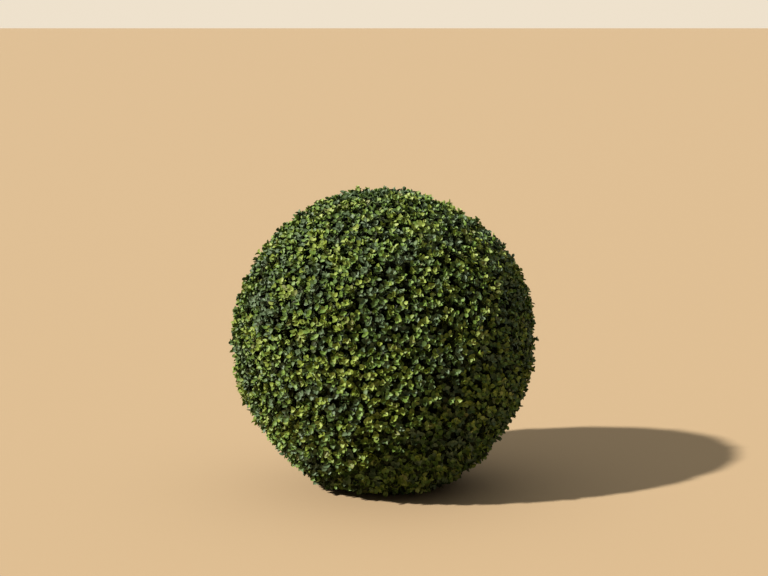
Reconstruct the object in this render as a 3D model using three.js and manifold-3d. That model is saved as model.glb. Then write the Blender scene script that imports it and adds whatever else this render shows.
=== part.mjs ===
// A clipped box ball: a dwarf box shrub sheared to a sphere that has settled down on the ground.
// Millimetres, +Z up. The origin is the centre of the flat cut under the stem, at ground level.

import * as THREE from 'three';
import { mergeVertices } from 'three/addons/utils/BufferGeometryUtils.js';
import Module from 'manifold-3d';

// Driving dimensions
const BALL_RADIUS = 200; // centre of the ball to the sheared surface
const CENTRE_HEIGHT = 194; // the ball has settled a little on its foot
const GROUND_CLEARANCE = 2; // the lowest leaves stop just short of the ground
const STEM_HEIGHT = 120; // ground level to the top of the fork
const STEM_FOOT_RADIUS = 15; // above the root flare
const STEM_FORK_RADIUS = 11; // just under the fork
const FIT_GAP = 0.4; // between the stem and the foliage cut round it

// Clipped foliage. The shears can't reach right under the ball, so it stays fuller at its foot.
const LOW_BULGE = 8; // how far that growth stands out of the sphere
const BULGE_FULL_DEG = 20; // full out to this angle from straight down
const BULGE_END_DEG = 55; // and gone by this one
const BALL_DETAIL = 14; // splits of each edge of the icosahedron
// Each wave is one swell of the sheared surface: its length, its height and how many cross the ball.
const SWELLS = [
  { length: 190, height: 0.45, count: 5 },
  { length: 90, height: 0.3, count: 9 },
  { length: 42, height: 0.26, count: 14 },
];
const SWELL_SEED = 41;

// Stem
const FLARE_HEIGHT = 13; // the root flare dies away over this height
const FLARE_SPREAD = 4.5; // how far it stands out at ground level
const FLARE_LOBES = 5; // roots that the flare runs into
const LOBE_DEPTH = 0.22; // part of the flare that comes and goes between two roots
const FORK_SWELL = 3.2; // the stem thickens where its boughs leave it
const FORK_SWELL_DROP = 14; // from the top down to the middle of that swelling
const FORK_SWELL_SPAN = 15;
const LEAN_DEG = 4;
const LEAN_TOWARDS_DEG = 35; // turned from +X towards +Y
const BOW = 3; // sideways bow of the stem at half its height
const STEM_RINGS = 18;
const STEM_SIDES = 24;
const DOME_RINGS = 4;

const wasm = await Module();
wasm.setup();

function positionsOnly(geometry) {
  const bare = geometry.clone();
  bare.deleteAttribute('normal');
  bare.deleteAttribute('uv');
  return mergeVertices(bare, 1e-3);
}

function toSolid(geometry) {
  const merged = positionsOnly(geometry);
  return new wasm.Manifold(new wasm.Mesh({
    numProp: 3,
    vertProperties: new Float32Array(merged.attributes.position.array),
    triVerts: new Uint32Array(merged.index.array),
  }));
}

function toGeometry(solid) {
  const mesh = solid.getMesh();
  const geometry = new THREE.BufferGeometry();
  geometry.setAttribute('position', new THREE.BufferAttribute(mesh.vertProperties, 3));
  geometry.setIndex(new THREE.BufferAttribute(mesh.triVerts, 1));
  geometry.computeVertexNormals();
  return geometry;
}

// The same numbers on every run, from 0 up to 1.
function seededNumbers(seed) {
  let state = seed;
  return () => {
    state = (state * 1664525 + 1013904223) % 4294967296;
    return state / 4294967296;
  };
}

// The shears leave the surface a little high in one place and low in the next.
function makeSwells() {
  const next = seededNumbers(SWELL_SEED);
  const swells = [];
  for (const { length, height, count } of SWELLS) {
    for (let i = 0; i < count; i += 1) {
      const direction = new THREE.Vector3(next() - 0.5, next() - 0.5, next() - 0.5).normalize();
      const phase = next() * 2 * Math.PI;
      swells.push({ direction, phase, height, turns: (2 * Math.PI) / length });
    }
  }
  return swells;
}

function swellAt(point, swells) {
  let sum = 0;
  for (const { direction, phase, height, turns } of swells) {
    sum += height * Math.cos(point.dot(direction) * turns + phase);
  }
  return sum;
}

function bulgeAt(point) {
  const fromDown = THREE.MathUtils.radToDeg(point.angleTo(new THREE.Vector3(0, 0, -1)));
  return LOW_BULGE * (1 - THREE.MathUtils.smoothstep(fromDown, BULGE_FULL_DEG, BULGE_END_DEG));
}

function ballGeometry() {
  const geometry = positionsOnly(new THREE.IcosahedronGeometry(BALL_RADIUS, BALL_DETAIL));
  const position = geometry.attributes.position;
  const swells = makeSwells();
  const point = new THREE.Vector3();
  for (let i = 0; i < position.count; i += 1) {
    point.fromBufferAttribute(position, i);
    point.setLength(BALL_RADIUS + swellAt(point, swells) + bulgeAt(point));
    position.setXYZ(i, point.x, point.y, point.z + CENTRE_HEIGHT);
  }
  return geometry;
}

// Half the stem's thickness at a height, in the direction of an angle round it.
function stemRadius(height, angle) {
  const straight = THREE.MathUtils.mapLinear(height, 0, STEM_HEIGHT, STEM_FOOT_RADIUS, STEM_FORK_RADIUS);
  const lobes = 1 + LOBE_DEPTH * Math.cos(FLARE_LOBES * angle);
  const flare = FLARE_SPREAD * lobes * Math.exp(-height / FLARE_HEIGHT);
  const fromSwell = (height - (STEM_HEIGHT - FORK_SWELL_DROP)) / FORK_SWELL_SPAN;
  return straight + flare + FORK_SWELL * Math.exp(-fromSwell * fromSwell);
}

// The stem leans, and bows a little to one side, but starts over the origin.
function stemCentre(height) {
  const towards = THREE.MathUtils.degToRad(LEAN_TOWARDS_DEG);
  const lean = height * Math.tan(THREE.MathUtils.degToRad(LEAN_DEG));
  const bow = BOW * Math.sin((Math.PI * height) / STEM_HEIGHT);
  return new THREE.Vector2(
    lean * Math.cos(towards) - bow * Math.sin(towards),
    lean * Math.sin(towards) + bow * Math.cos(towards),
  );
}

// The profile is drawn as the share of the radius at each height: full up the side, then a dome.
// With a gap it is the same stem grown on every side, and run down below the ground.
function stemGeometry(gap = 0) {
  const foot = gap > 0 ? -GROUND_CLEARANCE - FIT_GAP : 0;
  const shoulder = STEM_HEIGHT - STEM_FORK_RADIUS;
  const profile = [new THREE.Vector2(0, foot)];
  for (let i = 0; i <= STEM_RINGS; i += 1) {
    profile.push(new THREE.Vector2(1, THREE.MathUtils.lerp(foot, shoulder, i / STEM_RINGS)));
  }
  for (let i = 1; i <= DOME_RINGS; i += 1) {
    const turn = (Math.PI / 2) * (i / DOME_RINGS);
    const share = i === DOME_RINGS ? 0 : Math.cos(turn);
    profile.push(new THREE.Vector2(share, shoulder + (STEM_FORK_RADIUS + gap) * Math.sin(turn)));
  }
  const turned = new THREE.LatheGeometry(profile, STEM_SIDES).rotateX(Math.PI / 2);
  const geometry = positionsOnly(turned);
  const position = geometry.attributes.position;
  for (let i = 0; i < position.count; i += 1) {
    const share = Math.hypot(position.getX(i), position.getY(i));
    const angle = Math.atan2(position.getY(i), position.getX(i));
    const height = position.getZ(i);
    const radius = share * (stemRadius(Math.max(height, 0), angle) + gap);
    const centre = stemCentre(height);
    position.setXY(i, centre.x + radius * Math.cos(angle), centre.y + radius * Math.sin(angle));
  }
  return geometry;
}

// The foliage is one sheared mass, cut level just above the ground and cut round the stem.
function crownGeometry() {
  const groundSize = 4 * BALL_RADIUS;
  const ground = new THREE.BoxGeometry(groundSize, groundSize, groundSize)
    .translate(0, 0, GROUND_CLEARANCE - groundSize / 2);
  const crown = toSolid(ballGeometry())
    .subtract(toSolid(ground))
    .subtract(toSolid(stemGeometry(FIT_GAP)));
  return toGeometry(crown);
}

function subPart(name, geometry, material) {
  const mesh = new THREE.Mesh(geometry, material);
  mesh.name = name;
  return mesh;
}

const boxBark = new THREE.MeshStandardMaterial({ color: 0x8c7d60, roughness: 0.9, metalness: 0 });
const boxFoliage = new THREE.MeshStandardMaterial({ color: 0x46502a, roughness: 0.55, metalness: 0 });

const boxBall = new THREE.Group();
boxBall.add(subPart('stem', stemGeometry(), boxBark));
boxBall.add(subPart('crown', crownGeometry(), boxFoliage));

export default boxBall;
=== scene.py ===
import math

import bmesh
import bpy
import numpy as np
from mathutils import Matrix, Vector, noise
from mathutils.bvhtree import BVHTree


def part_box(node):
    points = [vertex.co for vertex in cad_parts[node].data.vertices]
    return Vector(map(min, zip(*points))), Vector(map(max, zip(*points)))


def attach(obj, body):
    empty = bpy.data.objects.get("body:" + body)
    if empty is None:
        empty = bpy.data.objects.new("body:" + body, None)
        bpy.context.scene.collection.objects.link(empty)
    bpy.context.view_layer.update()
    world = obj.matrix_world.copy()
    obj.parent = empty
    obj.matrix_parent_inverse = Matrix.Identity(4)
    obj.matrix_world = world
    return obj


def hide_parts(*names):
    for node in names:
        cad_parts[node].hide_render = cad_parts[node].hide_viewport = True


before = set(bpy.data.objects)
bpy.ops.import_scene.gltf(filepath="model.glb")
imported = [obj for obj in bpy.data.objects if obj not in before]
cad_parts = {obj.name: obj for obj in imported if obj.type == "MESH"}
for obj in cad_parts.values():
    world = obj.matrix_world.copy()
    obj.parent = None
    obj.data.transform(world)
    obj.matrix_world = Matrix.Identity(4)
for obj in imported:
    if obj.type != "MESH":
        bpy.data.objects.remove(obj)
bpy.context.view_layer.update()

# ---------------------------------------------------------------------------------------------
# Floor, light and camera. The ball stands on a plain pale floor, in a key light from the upper
# left and a little in front. Pale walls and a soft panel overhead fill the shade, and the camera
# looks down on it slightly from a few paces away.

crown_low, crown_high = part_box("crown")
BALL_RADIUS = (crown_high.x - crown_low.x) / 2
BALL_CENTRE = np.array([0.0, 0.0, crown_high.z - BALL_RADIUS])

CAMERA_HEIGHT = 3.0 * BALL_RADIUS
CAMERA_DISTANCE = 12.16 * BALL_RADIUS
CAMERA_PITCH = math.radians(7.92)
CAMERA_LENS = 87.9
KEY_ELEVATION = math.radians(38.5)
KEY_HEADING = math.radians(29.5)   # the light travels towards +X, turned this much towards +Y
KEY_SPREAD = math.radians(2.5)
KEY_STRENGTH = 8.3
KEY_COLOUR = "#fff8ee"
# The room from its walls up: sine of the angle above the floor, brightness and colour.
ROOM = (
    (0.06, 1.0, "#efe2cd"),
    (0.20, 0.58, "#efe2cd"),
    (0.42, 0.26, "#f0efe8"),
    (1.0, 1.65, "#f0efe8"),
)
ROOM_FRONT = 0.35                  # brightness of the room in front of the ball, to 1 behind it
FLOOR_COLOUR = "#9c876a"
FLOOR_SIZE = 2000.0


def linear(sheet_colour):
    """An sRGB hex colour as the linear red, green, blue and alpha that a shader takes."""
    channels = [int(sheet_colour[i:i + 2], 16) / 255 for i in (1, 3, 5)]
    return [c / 12.92 if c <= 0.04045 else ((c + 0.055) / 1.055) ** 2.4 for c in channels] + [1.0]


def add_node(material, kind, settings=(), **inputs):
    """Adds a shader node, sets its properties, and sets or links its named inputs."""
    node = material.node_tree.nodes.new(kind)
    for name, value in dict(settings).items():
        setattr(node, name, value)
    for name, value in inputs.items():
        socket = node.inputs[name.replace("_", " ")]
        if isinstance(value, bpy.types.NodeSocket):
            material.node_tree.links.new(value, socket)
        else:
            socket.default_value = value
    return node


def shaded_material(name, roughness, gloss=0.5):
    """A new material and its surface shader."""
    material = bpy.data.materials.new(name)
    material.use_nodes = True
    surface = material.node_tree.nodes["Principled BSDF"]
    surface.inputs["Roughness"].default_value = roughness
    surface.inputs["Specular IOR Level"].default_value = gloss
    return material, surface


def pale_floor():
    """A wide flat floor in matt paint."""
    material, surface = shaded_material("pale_floor_paint", roughness=0.9, gloss=0.2)
    surface.inputs["Base Color"].default_value = linear(FLOOR_COLOUR)
    bm = bmesh.new()
    bmesh.ops.create_grid(bm, x_segments=1, y_segments=1, size=FLOOR_SIZE / 2)
    mesh = bpy.data.meshes.new("floor")
    bm.to_mesh(mesh)
    bm.free()
    floor = bpy.data.objects.new("floor", mesh)
    bpy.context.scene.collection.objects.link(floor)
    mesh.materials.append(material)


def key_and_fill():
    """The key light, and the room that fills the shade."""
    key = bpy.data.lights.new("key", "SUN")
    key.energy = KEY_STRENGTH
    key.angle = KEY_SPREAD
    key.color = linear(KEY_COLOUR)[:3]
    lamp = bpy.data.objects.new("key", key)
    travel = Vector((
        math.cos(KEY_ELEVATION) * math.cos(KEY_HEADING),
        math.cos(KEY_ELEVATION) * math.sin(KEY_HEADING),
        -math.sin(KEY_ELEVATION),
    ))
    lamp.rotation_euler = travel.to_track_quat("-Z", "Y").to_euler()
    bpy.context.scene.collection.objects.link(lamp)
    world = bpy.data.worlds.new("studio")
    bpy.context.scene.world = world
    world.use_nodes = True
    direction = add_node(world, "ShaderNodeTexCoord")
    heading = add_node(world, "ShaderNodeSeparateXYZ", Vector=direction.outputs["Generated"])
    room = add_node(world, "ShaderNodeValToRGB", Fac=heading.outputs["Z"])
    room.color_ramp.interpolation = "EASE"
    stops = room.color_ramp.elements
    for place, _, _ in ROOM[1:-1]:
        stops.new(place)
    for stop, (place, strength, colour) in zip(stops, ROOM):
        stop.position = place
        stop.color = [strength * channel for channel in linear(colour)]
    dimming = add_node(
        world, "ShaderNodeMapRange",
        Value=heading.outputs["Y"], From_Min=-1.0, To_Min=ROOM_FRONT,
    )
    background = world.node_tree.nodes["Background"]
    world.node_tree.links.new(room.outputs["Color"], background.inputs["Color"])
    world.node_tree.links.new(dimming.outputs["Result"], background.inputs["Strength"])


def garden_camera():
    """The camera, in front of the ball and tilted down."""
    camera = bpy.data.objects.new("camera", bpy.data.cameras.new("camera"))
    camera.data.lens = CAMERA_LENS
    camera.location = (0.0, -CAMERA_DISTANCE, CAMERA_HEIGHT)
    camera.rotation_euler = (math.pi / 2 - CAMERA_PITCH, 0.0, 0.0)
    bpy.context.scene.collection.objects.link(camera)
    bpy.context.scene.camera = camera


pale_floor()
key_and_fill()
garden_camera()
bpy.context.scene.view_settings.view_transform = "Standard"

# ---------------------------------------------------------------------------------------------
# The stem: old box wood, a few centimetres of it, between the ground and the first boughs. Its
# corky bark splits into small upright plates, and the flat cut under it shows the pale wood.

BARK_PLATE = 0.0045      # a plate's width round the stem
PLATE_SHORTEN = 0.4      # heights shrink to this, so that plates are longer than they are wide
BARK_RELIEF = 0.0011     # from the plates down to the bottom of the cracks
BARK_LEVEL = 0.7         # the height in the relief that lies on the plain stem
CRACK_STEEPNESS = 2.2    # how sharply a plate drops into its cracks
BARK_GRAIN = 0.2         # part of the relief that is fine grain
GRAIN_FINENESS = 2.7     # and how much finer than the plates it is
WEATHER_PATCH = 0.016667  # grey patches of old bark, across
RING_WIDTH = 0.00196     # one year's growth
WAVE_SPACING = math.pi / 10  # between the wave pattern's rings, at a scale of 1
STEM_CUTS = 3            # splits of each edge of the plain stem
FLAT_CUT = 1e-5          # whatever lies lower than this is the sawn foot
WELD = 1e-6              # corners closer than this are one


def bark_height(point):
    """How far the bark stands out at a point, from 0 in a crack to 1 on a plate."""
    across = Vector((point.x, point.y, point.z * PLATE_SHORTEN)) / BARK_PLATE
    nearest, second = noise.voronoi(across)[0][:2]
    plate = min(1.0, (second - nearest) * CRACK_STEEPNESS)
    return (1 - BARK_GRAIN) * plate + BARK_GRAIN * noise.noise(across * GRAIN_FINENESS)


def raise_bark(mesh, relief, keep_flat_below=None):
    """Lifts a limb's surface into bark, along its own normals."""
    bm = bmesh.new()
    bm.from_mesh(mesh)
    bm.normal_update()
    lifted = []
    for vertex in bm.verts:
        if keep_flat_below is None or vertex.co.z > keep_flat_below:
            lifted.append((vertex, vertex.normal * relief * (bark_height(vertex.co) - BARK_LEVEL)))
    for vertex, lift in lifted:
        vertex.co += lift
    bm.to_mesh(mesh)
    bm.free()


def box_bark():
    """Bark of old box: thin, corky and matt, buff plates with darker grey-brown cracks."""
    material, surface = shaded_material("box_bark", roughness=0.88, gloss=0.3)
    place = add_node(material, "ShaderNodeTexCoord")
    stretch = add_node(
        material, "ShaderNodeMapping",
        Vector=place.outputs["Object"], Scale=(1, 1, PLATE_SHORTEN),
    )
    plates = add_node(
        material, "ShaderNodeTexVoronoi", {"feature": "DISTANCE_TO_EDGE"},
        Vector=stretch.outputs["Vector"], Scale=1 / BARK_PLATE,
    )
    weather = add_node(
        material, "ShaderNodeTexNoise",
        Vector=place.outputs["Object"], Scale=1 / WEATHER_PATCH, Detail=6.0, Roughness=0.6,
    )
    ramp = add_node(material, "ShaderNodeValToRGB", Fac=plates.outputs["Distance"])
    ramp.color_ramp.elements[0].color = linear("#332d23")
    ramp.color_ramp.elements[1].position = 0.22
    ramp.color_ramp.elements[1].color = linear("#6b6049")
    tone = add_node(
        material, "ShaderNodeMix", {"data_type": "RGBA", "blend_type": "MULTIPLY"},
        Factor=0.6, A=ramp.outputs["Color"], B=weather.outputs["Fac"],
    )
    relief = add_node(
        material, "ShaderNodeBump",
        Strength=0.5, Distance=0.0006, Height=weather.outputs["Fac"],
    )
    material.node_tree.links.new(tone.outputs["Result"], surface.inputs["Base Color"])
    material.node_tree.links.new(relief.outputs["Normal"], surface.inputs["Normal"])
    return material


def cut_box_wood():
    """Sawn box wood: very fine and pale yellow, with close rings round the pith."""
    material, surface = shaded_material("cut_box_wood", roughness=0.7)
    place = add_node(material, "ShaderNodeTexCoord")
    rings = add_node(
        material, "ShaderNodeTexWave", {"wave_type": "RINGS", "rings_direction": "Z"},
        Vector=place.outputs["Object"], Scale=WAVE_SPACING / RING_WIDTH, Distortion=1.5, Detail=2.0,
    )
    ramp = add_node(material, "ShaderNodeValToRGB", Fac=rings.outputs["Fac"])
    ramp.color_ramp.elements[0].color = linear("#b79c5f")
    ramp.color_ramp.elements[1].color = linear("#cdb981")
    material.node_tree.links.new(ramp.outputs["Color"], surface.inputs["Base Color"])
    return material


def finished_piece(name, mesh, materials, slot, *nodes):
    """Puts a finished mesh in the scene as a piece of the plant."""
    piece = bpy.data.objects.new(name, mesh)
    bpy.context.scene.collection.objects.link(piece)
    for material in materials:
        mesh.materials.append(material)
    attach(piece, "root")
    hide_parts(*nodes)


def barked_stem():
    """The plain stem, split finely enough for its bark to be raised."""
    mesh = bpy.data.meshes.new("stem_bark")
    bm = bmesh.new()
    bm.from_mesh(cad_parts["stem"].data)
    bmesh.ops.remove_doubles(bm, verts=bm.verts, dist=WELD)
    bmesh.ops.subdivide_edges(bm, edges=bm.edges, cuts=STEM_CUTS, use_grid_fill=True)
    bm.to_mesh(mesh)
    bm.free()
    raise_bark(mesh, BARK_RELIEF, keep_flat_below=FLAT_CUT)
    for face in mesh.polygons:
        face.use_smooth = True
        face.material_index = int(face.center.z < FLAT_CUT)
    return mesh


BARK = box_bark()
finished_piece("stem_bark", barked_stem(), (BARK, cut_box_wood()), "bark", "stem")

# ---------------------------------------------------------------------------------------------
# Boughs, branches and twigs, of bare wood under bark. Box forks low, and each limb shares its part
# of the ball out among the limbs that leave it, down to twigs that each carry a few leafy shoots.
# Thickness follows the number of shoots that a limb feeds.

SEED = 8
SHOOTS = 5900
TIP_DEPTH = 0.0069       # shoots end this far under the sheared surface
TIP_UNEVEN = 0.0027      # give or take this much
TIP_LEAST = 0.0010       # but none ends nearer to it than this
TIP_WANDER = 0.30        # sideways from even spacing, in spacings
GROUND_CLEAR = 0.0030    # no leaf hangs lower than this
TIP_CLEAR = 0.006        # and no shoot ends lower than this
FOOT_CLEAR = 0.030       # or this near the stem's foot
SHARE_ROUNDS = 7         # times that the shares are evened out

STEM_SLICES = 12         # heights at which the stem's middle is found
LOWEST_SLICE = 0.012
TOP_SLICE_DROP = 0.010   # the highest is this far under the top of the fork
SLICE_HALF = 0.006       # corners this near a height belong to its slice
LOWEST_BOUGH_SLICE = 2   # boughs leave the stem from this slice up

BOUGHS = 15
BOUGH_THICKEST = 0.008   # radius
BOUGH_LIFT = 0.45        # boughs set out more upwards than they end
BOUGH_RISE = 1.5         # how fast they move up the stem as their leaves lie higher
BOUGH_RELIEF = 0.0006
SHARES = (5, 4, 4)       # limbs that leave each bough, branch and branchlet
DEPTHS = (0.105, 0.068, 0.046, 0.032)     # from a limb's end out to the sheared surface
DEPTH_SHARES = (0.62, 0.44, 0.32, 0.26)   # and at most this part of the way from the stem
LIMB_POINTS = (50, 20, 4, 4)
TWIG_LEVEL = 2           # from here on the limbs are twigs, too thin for the bark to show relief
SET_OUT = 0.45           # part of its length for which a limb keeps its first heading
END_WANDER = 0.06        # how far its end strays, as a part of its length
BEND_WANDER = 0.05       # and its bend
FIRST_FORK = 0.45        # limbs leave it from this part of its length on
FORK_TURN = 0.9          # how strongly they turn towards their own leaves
FORK_THINNING = 0.9      # their greatest thickness, as a part of the limb's there
LIMB_TAPER = 0.62        # a limb's thickness at its end, as a part of that at its start
SHOOT_THICKNESS = 0.00042  # radius of one green shoot
THICKENING = 0.37        # power of the number of shoots that a limb feeds

rng = np.random.default_rng(SEED)
stem_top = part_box("stem")[1].z


def unit(vectors):
    """The same directions, each of length 1."""
    return vectors / np.linalg.norm(vectors, axis=-1, keepdims=True)


def stem_middle(height):
    """The middle of the stem at a height, measured on the plain stem."""
    points = np.array([v.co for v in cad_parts["stem"].data.vertices])
    near = points[np.abs(points[:, 2] - height) < SLICE_HALF]
    return np.array([near[:, 0].mean(), near[:, 1].mean(), height])


STEM_STEPS = np.linspace(LOWEST_SLICE, stem_top - TOP_SLICE_DROP, STEM_SLICES)
STEM_LINE = np.array([stem_middle(height) for height in STEM_STEPS])


def on_stem(height):
    """The middle of the stem at any height between those."""
    return np.array([np.interp(height, STEM_STEPS, STEM_LINE[:, i]) for i in range(3)])


def sheared_surface():
    """The plain crown, to measure in towards the middle of the ball."""
    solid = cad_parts["crown"].data
    corners = [vertex.co for vertex in solid.vertices]
    return BVHTree.FromPolygons(corners, [tuple(face.vertices) for face in solid.polygons])


def sheared_tips():
    """Where the shoots end: evenly spread over the ball, on the swells that the shears leave."""
    steps = np.arange(SHOOTS) + 0.5
    height = 1 - 2 * steps / SHOOTS
    turn = steps * math.pi * (3 - math.sqrt(5))
    level = np.sqrt(1 - height ** 2)
    out = np.stack([level * np.cos(turn), level * np.sin(turn), height], axis=1)
    spacing = math.sqrt(4 * math.pi / SHOOTS)
    out = unit(out + rng.normal(0, TIP_WANDER * spacing, out.shape))
    surface = sheared_surface()
    outside = BALL_CENTRE + 2 * BALL_RADIUS * out
    reach = np.array([
        2 * BALL_RADIUS - surface.ray_cast(Vector(point), Vector(-direction))[3]
        for point, direction in zip(outside, out)
    ])
    reach -= rng.normal(TIP_DEPTH, TIP_UNEVEN, SHOOTS).clip(TIP_LEAST, None)
    tips = BALL_CENTRE + out * reach[:, None]
    tips[:, 2] = np.maximum(tips[:, 2], TIP_CLEAR)
    clear_of_foot = np.hypot(tips[:, 0], tips[:, 1]) > FOOT_CLEAR
    keep = clear_of_foot | (tips[:, 2] > BALL_CENTRE[2])
    return tips[keep], out[keep]


def share_out(points, count):
    """Sorts points into bundles, each gathered round its own middle."""
    count = min(count, len(points))
    middles = points[rng.choice(len(points), count, replace=False)].copy()
    for _ in range(SHARE_ROUNDS):
        gaps = ((points[:, None] - middles[None]) ** 2).sum(axis=2)
        nearest = np.argmin(gaps, axis=1)
        for i in range(count):
            if np.any(nearest == i):
                middles[i] = points[nearest == i].mean(axis=0)
    return [np.flatnonzero(nearest == i) for i in range(count) if np.any(nearest == i)]


def bend(start, control, end, where):
    """Points on the curve from start to end that sets out towards control."""
    where = np.asarray(where)[:, None]
    return (1 - where) ** 2 * start + 2 * where * (1 - where) * control + where ** 2 * end


tips, outward = sheared_tips()
limbs = []          # (level, points, radii)
shoot_starts = np.zeros_like(tips)


def grow(level, start, heading, heart, members, thick):
    """One limb from start towards its share of the tips, and then the limbs that leave it."""
    middle = tips[members].mean(axis=0)
    middle = BALL_CENTRE + unit(middle - BALL_CENTRE) * BALL_RADIUS
    back = heart - middle
    away = np.linalg.norm(back)
    depth = min(DEPTHS[level], DEPTH_SHARES[level] * away)
    end = middle + back / away * depth
    length = np.linalg.norm(end - start)
    end = end + rng.normal(0, END_WANDER * length, 3)
    control = start + heading * SET_OUT * length + rng.normal(0, BEND_WANDER * length, 3)
    points = bend(start, control, end, np.linspace(0, 1, LIMB_POINTS[level]))
    slender = SHOOT_THICKNESS * len(members) ** THICKENING
    first = min(slender, thick)
    last = LIMB_TAPER * first
    limbs.append((level, points, np.linspace(first, last, LIMB_POINTS[level])))
    ahead = unit(end - control)
    leave = rng.uniform(FIRST_FORK, 1.0, len(members))
    if level == len(DEPTHS) - 1:
        leave[0] = 1.0
        shoot_starts[members] = bend(start, control, end, leave)
        return
    bundles = share_out(tips[members], SHARES[level])
    for order, bundle in enumerate(bundles):
        at = 1.0 if order == 0 else leave[order]
        fork = bend(start, control, end, [at])[0]
        thin = first + (last - first) * at
        towards = unit(tips[members][bundle].mean(axis=0) - fork)
        lead = unit(ahead + FORK_TURN * towards)
        grow(level + 1, fork, lead, heart, members[bundle], FORK_THINNING * thin)


def plant_boughs():
    """Every bough, and all that grows on it. Those with low leaves leave the stem lower down."""
    for members in share_out(tips, BOUGHS):
        middle = tips[members].mean(axis=0)
        rise = (middle[2] - BALL_CENTRE[2] + BALL_RADIUS) / (2 * BALL_RADIUS)
        low, high = STEM_STEPS[LOWEST_BOUGH_SLICE], STEM_STEPS[-1]
        heart = on_stem(low + (high - low) * min(1.0, BOUGH_RISE * rise))
        towards = unit(middle - heart)
        heading = unit(towards + np.array([0.0, 0.0, BOUGH_LIFT]))
        grow(0, heart, heading, heart, members, BOUGH_THICKEST)


def limb_mesh(name, lines, roundness, smooth):
    """Tapering limbs as one mesh, from the points and radii of each. Roundness adds sides."""
    curve = bpy.data.curves.new(name, "CURVE")
    curve.dimensions = "3D"
    curve.bevel_depth = 1.0
    curve.bevel_resolution = roundness
    curve.use_fill_caps = True
    for points, radii in lines:
        line = curve.splines.new("POLY")
        line.points.add(len(points) - 1)
        line.points.foreach_set("co", np.column_stack([points, np.ones(len(points))]).ravel())
        line.points.foreach_set("radius", radii)
    holder = bpy.data.objects.new(name, curve)
    bpy.context.scene.collection.objects.link(holder)
    graph = bpy.context.evaluated_depsgraph_get()
    mesh = bpy.data.meshes.new_from_object(holder.evaluated_get(graph))
    bpy.data.objects.remove(holder)
    mesh.name = name
    mesh.materials.clear()
    mesh.polygons.foreach_set("use_smooth", [smooth] * len(mesh.polygons))
    return mesh


def twig_bark():
    """Second-year box twigs: thin olive-buff skin over pale wood, quite matt."""
    material, surface = shaded_material("twig_bark", roughness=0.7)
    surface.inputs["Base Color"].default_value = linear("#4a4528")
    return material


plant_boughs()
thick_limbs = [(points, radii) for level, points, radii in limbs if level < TWIG_LEVEL]
thin_limbs = [(points, radii) for level, points, radii in limbs if level >= TWIG_LEVEL]
boughs = limb_mesh("boughs", thick_limbs, roundness=4, smooth=True)
raise_bark(boughs, BOUGH_RELIEF)
finished_piece("boughs", boughs, (BARK,), "bark", "crown")
twigs = limb_mesh("twigs", thin_limbs, roundness=1, smooth=True)
finished_piece("twigs", twigs, (twig_bark(),), "bark", "crown")

# ---------------------------------------------------------------------------------------------
# Shoots: this year's and last year's growth, green and four-sided, leaving a twig and turning
# straight out of the ball.

SHOOT_POINTS = 3
SHOOT_ENDS = (1.35, 0.8)  # its thickness at the twig and at the tip, as parts of a shoot's
SHOOT_BEND = 0.55        # part of its length for which it keeps the tip's heading
SHOOT_TURN = 0.22        # how far the tip strays from straight out
SHOOT_LIFT = 0.20        # and how far it lifts towards the light
LOW_SHOOT_LIFT = 0.75    # the more, the further round under the ball it grows

shoot_tilt = rng.normal(0, SHOOT_TURN, tips.shape)
shoot_tilt[:, 2] += SHOOT_LIFT + LOW_SHOOT_LIFT * np.maximum(0, -outward[:, 2])
shoot_aim = unit(outward + shoot_tilt)
shoot_length = np.linalg.norm(tips - shoot_starts, axis=1)
shoot_control = tips - shoot_aim * (SHOOT_BEND * shoot_length)[:, None]


def on_shoot(where):
    """Points and directions on every shoot, at a share of the way from its start to its tip."""
    where = where[:, None]
    near, middle, far = (1 - where) ** 2, 2 * where * (1 - where), where ** 2
    point = near * shoot_starts + middle * shoot_control + far * tips
    ahead = (1 - where) * (shoot_control - shoot_starts) + where * (tips - shoot_control)
    return point, unit(ahead)


def green_shoots():
    """All shoots as one mesh, four-sided with sharp edges as box shoots are."""
    steps = np.linspace(0, 1, SHOOT_POINTS)
    lines = np.stack([on_shoot(np.full(len(tips), step))[0] for step in steps], axis=1)
    radii = SHOOT_THICKNESS * np.linspace(*SHOOT_ENDS, SHOOT_POINTS)
    return limb_mesh("shoots", [(line, radii) for line in lines], roundness=0, smooth=False)


def shoot_skin():
    """Young box shoots: a smooth yellow-green skin with a slight shine."""
    material, surface = shaded_material("shoot_skin", roughness=0.5)
    surface.inputs["Base Color"].default_value = linear("#4c5523")
    return material


finished_piece("shoots", green_shoots(), (shoot_skin(),), "foliage", "crown")

# ---------------------------------------------------------------------------------------------
# Leaves: small and leathery, broadest near the middle and blunt at the tip, in pairs that cross
# each other up the shoot. The youngest pairs make a rosette on the sheared surface, and the
# older, larger ones fill the shade behind it, in a near-black tint that is painted shade.

LEAF_LENGTH = 0.0082
LOW_LEAF_GROWTH = 0.12       # leaves are longer under the ball, where it is seldom clipped
LEAF_ALONG = (0.0, 0.24, 0.50, 0.78, 1.0)   # from the stalk to the tip, as parts of the length
LEAF_HALF = (0.04, 0.31, 0.38, 0.29, 0.06)  # and how far its edge lies from the midrib there
LEAF_ROWS = (4, 4, 3, 3)    # splits along each young leaf, pair by pair
OLD_ROWS = 2
LEAF_SIZES = (0.82, 1.14)    # the least and the greatest, leaf by leaf
LEAF_CUPS = (0.3, 1.1)       # how steeply the two halves rise from the midrib
LEAF_SCOOPS = (-0.15, 0.75)  # how much the stalk and the tip turn up
SCOOP_FROM = 0.35            # from the part of the length that stays lowest
LEAF_ROLL = 0.24             # how far it is turned about its midrib
SPREAD_WANDER = 11.0         # degrees, either way from its pair's angle
PAIR_WANDER = 0.22           # and round the shoot
LOWEST_PAIR = 0.12           # no pair grows lower than this part of its shoot
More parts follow.
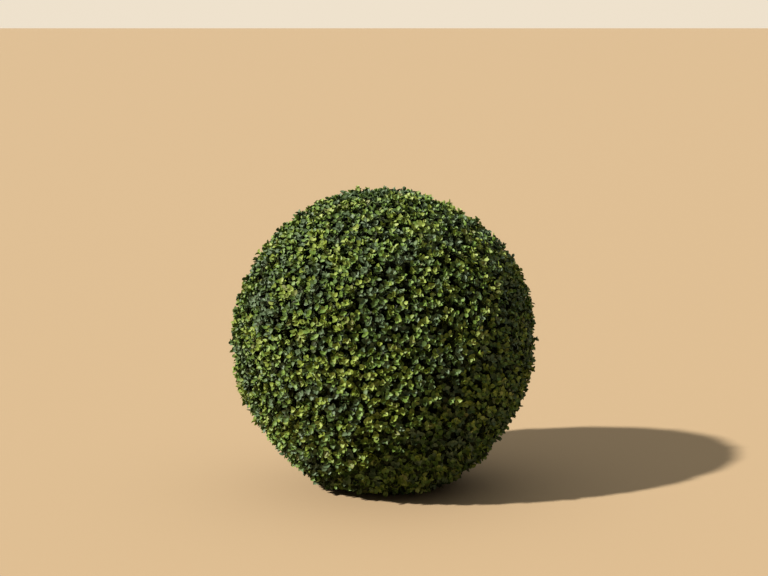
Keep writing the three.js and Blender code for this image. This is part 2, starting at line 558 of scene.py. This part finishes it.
LEAF_ROUGHNESS = 0.6
LEAF_GLOSS = 0.5
OLD_LEAF_GLOSS = 0.2
# Each pair: distance down from the tip, size, angle off the shoot in degrees.
YOUNG_PAIRS = ((0.0006, 0.78, 50), (0.0030, 0.94, 65), (0.0072, 1.0, 75), (0.0122, 1.0, 82))
OLD_PAIRS = ((0.0172, 1.25, 84), (0.0225, 1.4, 88), (0.0280, 1.5, 92))


def flat_leaf(rows):
    """One flat leaf of unit length along +Y from its stalk, as points and four-sided faces."""
    bm = bmesh.new()
    bmesh.ops.create_grid(bm, x_segments=2, y_segments=rows, size=0.5)
    shares = np.linspace(0, 1, len(LEAF_ALONG))
    for vertex in bm.verts:
        share = vertex.co.y + 0.5
        vertex.co.x *= 2 * np.interp(share, shares, LEAF_HALF)
        vertex.co.y = np.interp(share, shares, LEAF_ALONG)
    bm.verts.index_update()
    points = np.array([v.co for v in bm.verts])
    faces = np.array([[v.index for v in f.verts] for f in bm.faces])
    bm.free()
    return points, faces


def leaves_of(pair, blade):
    """Both leaves of one pair on every shoot: all their points, in one array."""
    down, size, spread = pair
    where = np.clip(1 - down / shoot_length, LOWEST_PAIR, 1.0)
    point, ahead = on_shoot(where)
    sets = []
    for half_turn in (0.0, math.pi):
        turn = PAIR_TURN[pair] + rng.normal(0, PAIR_WANDER, len(tips)) + half_turn
        across = np.cos(turn)[:, None] * SHOOT_SIDE + np.sin(turn)[:, None] * SHOOT_BACK
        across = unit(across - (across * ahead).sum(axis=1, keepdims=True) * ahead)
        angle = np.radians(spread + rng.normal(0, SPREAD_WANDER, len(tips)))[:, None]
        along = np.cos(angle) * ahead + np.sin(angle) * across
        face = np.sin(angle) * ahead - np.cos(angle) * across
        wing = np.cross(along, face)
        roll = rng.normal(0, LEAF_ROLL, len(tips))[:, None]
        rolled_wing = np.cos(roll) * wing + np.sin(roll) * face
        rolled_face = np.cos(roll) * face - np.sin(roll) * wing
        length = LEAF_LENGTH * size * rng.uniform(*LEAF_SIZES, len(tips))
        length *= 1 + LOW_LEAF_GROWTH * np.maximum(0, -outward[:, 2])
        cup = rng.uniform(*LEAF_CUPS, len(tips))[:, None]
        scoop = rng.uniform(*LEAF_SCOOPS, len(tips))[:, None]
        x, y = blade[None, :, 0], blade[None, :, 1]
        z = cup * np.abs(x) + scoop * (y - SCOOP_FROM) ** 2
        shape = (
            x[:, :, None] * rolled_wing[:, None]
            + y[:, :, None] * along[:, None]
            + z[:, :, None] * rolled_face[:, None]
        )
        sets.append(point[:, None] + length[:, None, None] * shape)
    return np.stack(sets, axis=1)


def joined_leaves(name, bunches):
    """Many leaves as one mesh. A bunch is the points, leaf by leaf, and the faces of one leaf."""
    points = []
    corners = []
    placed = 0
    for leaves, faces in bunches:
        count, per_leaf = leaves.shape[:2]
        starts = placed + np.arange(count) * per_leaf
        corners.append((faces[None] + starts[:, None, None]).reshape(-1))
        points.append(leaves.reshape(-1, 3))
        placed += count * per_leaf
    points = np.concatenate(points)
    corners = np.concatenate(corners)
    points[:, 2] = np.maximum(points[:, 2], GROUND_CLEAR)
    mesh = bpy.data.meshes.new(name)
    mesh.vertices.add(len(points))
    mesh.vertices.foreach_set("co", points.ravel())
    mesh.loops.add(len(corners))
    mesh.loops.foreach_set("vertex_index", corners)
    sides = faces.shape[1]
    mesh.polygons.add(len(corners) // sides)
    mesh.polygons.foreach_set("loop_start", np.arange(0, len(corners), sides))
    mesh.update(calc_edges=True)
    mesh.polygons.foreach_set("use_smooth", [True] * len(mesh.polygons))
    return mesh


def leaf_skin(name, colour, gloss):
    """A leathery box leaf: waxy enough for a broad sheen where it faces the light."""
    material, surface = shaded_material(name, LEAF_ROUGHNESS, gloss)
    surface.inputs["Base Color"].default_value = linear(colour)
    return material


# Two directions square to each shoot. A shoot that rises more steeply than this takes them from
# +X, and any other from straight up.
STEEP = 0.8
reference = np.where(np.abs(shoot_aim[:, 2:3]) > STEEP, [[1.0, 0.0, 0.0]], [[0.0, 0.0, 1.0]])
SHOOT_SIDE = unit(np.cross(shoot_aim, reference))
SHOOT_BACK = np.cross(shoot_aim, SHOOT_SIDE)
first_turn = rng.uniform(0, math.pi, len(tips))
PAIR_TURN = {
    pair: first_turn + order * math.pi / 2
    for order, pair in enumerate(YOUNG_PAIRS + OLD_PAIRS)
}

# The tints that the leaves are dealt, from the darkest to the palest, and the old leaves' tint.
# The darkest ones, night and dusk under each spray and shade on the old leaves, are partly the
# darker green of older box leaves and partly painted shade that deepens the gaps in the ball.
LEAF_TINTS = {
    "night": "#202707",
    "dusk": "#2b3610",
    "deep": "#3e5420",
    "blue": "#46593a",
    "mid": "#577128",
    "moss": "#607226",
    "fresh": "#70812c",
    "lime": "#7d8b43",
    "olive": "#585f27",
    "shade": "#171e04",
}
# The leaves under each spray take a darker tint than the pairs above them: painted shade deep in
# the spray, on top of the darker green of older leaves.
SPRAYS = (  # the first pair, the second, the leaves under them, how common
    ("blue", "blue", "night", 0.19),
    ("deep", "blue", "night", 0.08),
    ("deep", "deep", "night", 0.11),
    ("mid", "deep", "night", 0.20),
    ("moss", "mid", "dusk", 0.18),
    ("fresh", "moss", "dusk", 0.13),
    ("olive", "moss", "dusk", 0.04),
    ("lime", "fresh", "deep", 0.08),
)
PATCH_SIZE = 0.034    # like tints gather in loose patches this far across
PATCH_PULL = 0.85     # how strongly
PATCH_MIX = 0.30      # and how much chance there is in it


def deal_sprays():
    """The kind of every spray."""
    patch = np.array([PATCH_PULL * noise.noise(Vector(tip) / PATCH_SIZE) for tip in tips])
    rank = np.argsort(np.argsort(patch + rng.normal(0, PATCH_MIX, len(tips)))) / len(tips)
    bounds = np.cumsum([share for _, _, _, share in SPRAYS])
    return np.searchsorted(bounds / bounds[-1], rank, side="right").clip(0, len(SPRAYS) - 1)


def leafy_sprays():
    """The young leaves, joined tint by tint, and the old ones, pair by pair."""
    spray = deal_sprays()
    bunches = {}
    for order, (pair, rows) in enumerate(zip(YOUNG_PAIRS, LEAF_ROWS)):
        blade, faces = flat_leaf(rows)
        sets = leaves_of(pair, blade)
        for kind, (*tints, _) in enumerate(SPRAYS):
            tint = tints[min(order, len(tints) - 1)]
            chosen = sets[spray == kind].reshape(-1, len(blade), 3)
            bunches.setdefault(tint, []).append((chosen, faces))
    for tint, bunch in bunches.items():
        mesh = joined_leaves("leaves_" + tint, bunch)
        gloss = OLD_LEAF_GLOSS if tint in ("night", "dusk") else LEAF_GLOSS
        skin = leaf_skin("box_leaf_" + tint, LEAF_TINTS[tint], gloss)
        finished_piece("leaves_" + tint, mesh, (skin,), "foliage", "crown")
    blade, faces = flat_leaf(OLD_ROWS)
    # The old leaves' near-black tint is painted shade behind the rosettes, far darker than old box
    # leaves are.
    skin = leaf_skin("box_leaf_shade", LEAF_TINTS["shade"], OLD_LEAF_GLOSS)
    for order, pair in enumerate(OLD_PAIRS):
        sets = leaves_of(pair, blade)
        name = "leaves_shade_" + str(order + 1)
        mesh = joined_leaves(name, [(sets.reshape(-1, len(blade), 3), faces)])
        finished_piece(name, mesh, (skin,), "foliage", "crown")


leafy_sprays()
